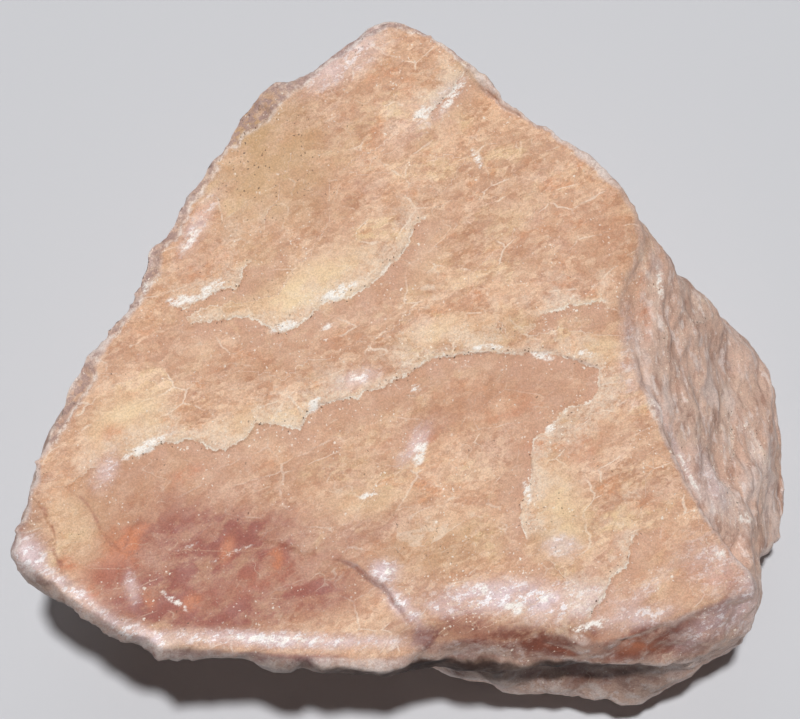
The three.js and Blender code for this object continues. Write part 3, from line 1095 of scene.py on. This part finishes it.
CENTRE = (cad_bounds[0] + cad_bounds[1]) / 2
AIM = Vector((CENTRE.x - 1.8 * MM, CENTRE.y - 2.35 * MM, 27 * MM))  # the middle of the picture
VIEW_HEIGHT = 70  # degrees that the camera looks down
VIEW_DISTANCE = 240 * MM
SENSOR = 36  # millimetres
LENS = 121  # millimetres
NEAREST_SEEN = 0.01  # metres
KEY_DISTANCE = 2.5  # metres
SKY = (0.9, 0.93, 1.0)  # a faint cool light from all round
SKY_STRENGTH = 0.012
FLOOR_TURNS = 64  # sides of the floor's rings
FLOOR_PROFILE = [  # how far out and how high its rings are, in metres
    (0.0, 0.0), (2.2, 0.0), (2.4, 0.01), (2.5, 0.03), (2.56, 0.07), (2.6, 0.14), (2.62, 0.32),
]
FLOOR_DROP = 0.02 * MM  # keeps the floor clear of the stone's resting face
FLOOR_SHADE = (207, 208, 212)
FLOOR_ROUGHNESS = 0.8
FLOOR_GLOW = (1.0, 0.72)  # where no key light reaches: on the level floor, and on the standing backdrop


def direction(turn, height):
    """The way from the stone to something seen at a turn from the front, to the right, and a height."""
    turn, height = math.radians(turn), math.radians(height)
    return Vector((math.sin(turn) * math.cos(height), -math.cos(turn) * math.cos(height), math.sin(height)))


def facing_stone(name, data, turn, height, distance):
    """A camera or lamp that looks at the stone from a direction and a distance."""
    thing = put_in_scene(name, data)
    thing.location = AIM + direction(turn, height) * distance
    thing.rotation_euler = (AIM - thing.location).to_track_quat("-Z", "Y").to_euler()
    return thing


def camera():
    """The camera, at the front of the stone and high above it."""
    lens = bpy.data.cameras.new("camera")
    lens.lens = LENS
    lens.sensor_width = SENSOR
    lens.clip_start = NEAREST_SEEN
    bpy.context.scene.camera = facing_stone("camera", lens, 0, VIEW_HEIGHT, VIEW_DISTANCE)


def soft_light(name, turn, height, distance, size, power):
    """A round lamp that faces the stone: its direction in degrees, distance and size in metres, and watts."""
    light = bpy.data.lights.new(name, "AREA")
    light.shape = "DISK"
    light.size = size
    light.energy = power
    facing_stone(name, light, turn, height, distance)


def evenly_lit(shader):
    """A glow that makes up for the key light's falling off far from the stone."""
    east, north, height = shader.node("SeparateXYZ", Vector=shader.place).outputs
    far = shader.math("ADD", shader.times(east, east), shader.times(north, north))
    spread_out = shader.math("ADD", shader.math("DIVIDE", far, KEY_DISTANCE ** 2), 1.0)
    lit = shader.math("DIVIDE", 1.0, shader.times(spread_out, spread_out))
    return shader.times(shader.math("SUBTRACT", 1.0, lit), shader.spread(height, 0.0, 0.1, *FLOOR_GLOW))


def floor_material():
    """The floor's pale grey, which glows a little where the key light is weak."""
    shader = Shader("pale_floor")
    surface = shader.principled.inputs
    shader.connect(FLOOR_ROUGHNESS, surface["Roughness"])
    shader.connect(FLOOR_SHADE, surface["Base Color"])
    shader.connect(FLOOR_SHADE, surface["Emission Color"])
    shader.connect(evenly_lit(shader), surface["Emission Strength"])
    shader.material.cycles.emission_sampling = "NONE"
    return shader.material


def stage_floor():
    """A pale floor that curves up into a low pale backdrop all round, far from the stone."""
    corners = []
    for out, up in FLOOR_PROFILE:
        for turn in range(FLOOR_TURNS):
            angle = 2 * math.pi * turn / FLOOR_TURNS
            corners.append((out * math.cos(angle), out * math.sin(angle), up - FLOOR_DROP))
    faces = []
    for ring in range(len(FLOOR_PROFILE) - 1):
        inner, outer = ring * FLOOR_TURNS, (ring + 1) * FLOOR_TURNS
        for turn in range(FLOOR_TURNS):
            after = (turn + 1) % FLOOR_TURNS
            faces.append((inner + turn, inner + after, outer + after, outer + turn))
    mesh = bpy.data.meshes.new("floor")
    mesh.from_pydata(corners, [], faces)
    mesh.validate()
    mesh.polygons.foreach_set("use_smooth", [True] * len(mesh.polygons))
    floor = put_in_scene("floor", mesh)
    mesh.materials.append(floor_material())


def lights():
    """A soft key light from nearly overhead, a weak fill from behind and a faint light from all round."""
    soft_light("key", 0, 87, KEY_DISTANCE, 0.17, 54)
    soft_light("back_fill", 180, 38, 0.7, 0.5, 0.5)

    world = bpy.data.worlds.new("world")
    bpy.context.scene.world = world
    world.use_nodes = True
    sky = world.node_tree.nodes["Background"].inputs
    sky["Color"].default_value = (*SKY, 1)
    sky["Strength"].default_value = SKY_STRENGTH
    bpy.context.scene.view_settings.view_transform = "Standard"


main()
